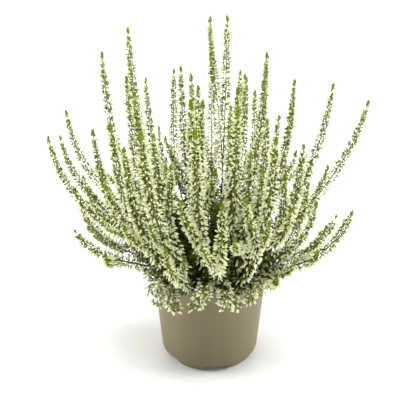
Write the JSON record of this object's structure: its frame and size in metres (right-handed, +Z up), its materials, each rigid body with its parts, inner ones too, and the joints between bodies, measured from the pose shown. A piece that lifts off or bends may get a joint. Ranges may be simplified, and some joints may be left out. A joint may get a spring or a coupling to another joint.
{
  "type": "potted heather",
  "caption": "Bushy white-budded heather in a tapered taupe nursery pot: upright flower spikes over low leafy shoots, rooted in compost.",
  "frame": {"origin": "on the ground, under the pot's axis", "axes": "+Z up, +X to the right and -Y towards the viewer as the picture shows the plant"},
  "size_m": [0.3127, 0.2636, 0.349],
  "materials": {
    "pot_plastic": "matte",
    "compost": "matte",
    "heather_bud": "matte",
    "heather_leaf": "matte"
  },
  "bodies": {
    "root": {"pot": "pot_plastic", "soil": "compost", "rising_shoot_01": "heather_bud", "rising_shoot_02": "heather_bud", "rising_shoot_03": "heather_bud", "rising_shoot_04": "heather_bud", "rising_shoot_05": "heather_bud", "rising_shoot_06": "heather_bud", "rising_shoot_07": "heather_bud", "rising_shoot_08": "heather_bud", "rising_shoot_09": "heather_bud", "rising_shoot_10": "heather_bud", "rising_shoot_11": "heather_bud", "rising_shoot_12": "heather_bud", "rising_shoot_13": "heather_bud", "rising_shoot_14": "heather_bud", "rising_shoot_15": "heather_bud", "rising_shoot_16": "heather_bud", "rising_shoot_17": "heather_bud", "rising_shoot_18": "heather_bud", "rising_shoot_19": "heather_bud", "rising_shoot_20": "heather_bud", "rising_shoot_21": "heather_bud", "rising_shoot_22": "heather_bud", "rising_shoot_23": "heather_bud", "rising_shoot_24": "heather_bud", "rising_shoot_25": "heather_bud", "rising_shoot_26": "heather_bud", "rising_shoot_27": "heather_bud", "rising_shoot_28": "heather_bud", "rising_shoot_29": "heather_bud", "rising_shoot_30": "heather_bud", "rising_shoot_31": "heather_bud", "rising_shoot_32": "heather_bud", "rising_shoot_33": "heather_bud", "rising_shoot_34": "heather_bud", "rising_shoot_35": "heather_bud", "rising_shoot_36": "heather_bud", "rising_shoot_37": "heather_bud", "rising_shoot_38": "heather_bud", "rising_shoot_39": "heather_bud", "rising_shoot_40": "heather_bud", "rising_shoot_41": "heather_bud", "rising_shoot_42": "heather_bud", "rising_shoot_43": "heather_bud", "sweeping_shoot_01": "heather_bud", "sweeping_shoot_02": "heather_bud", "sweeping_shoot_03": "heather_bud", "sweeping_shoot_04": "heather_bud", "sweeping_shoot_05": "heather_bud", "sweeping_shoot_06": "heather_bud", "sweeping_shoot_07": "heather_bud", "arching_shoot_01": "heather_leaf", "arching_shoot_02": "heather_leaf", "arching_shoot_03": "heather_leaf", "arching_shoot_04": "heather_leaf", "arching_shoot_05": "heather_leaf", "arching_shoot_06": "heather_leaf", "arching_shoot_07": "heather_leaf", "arching_shoot_08": "heather_leaf"}
  },
  "joints": []
}
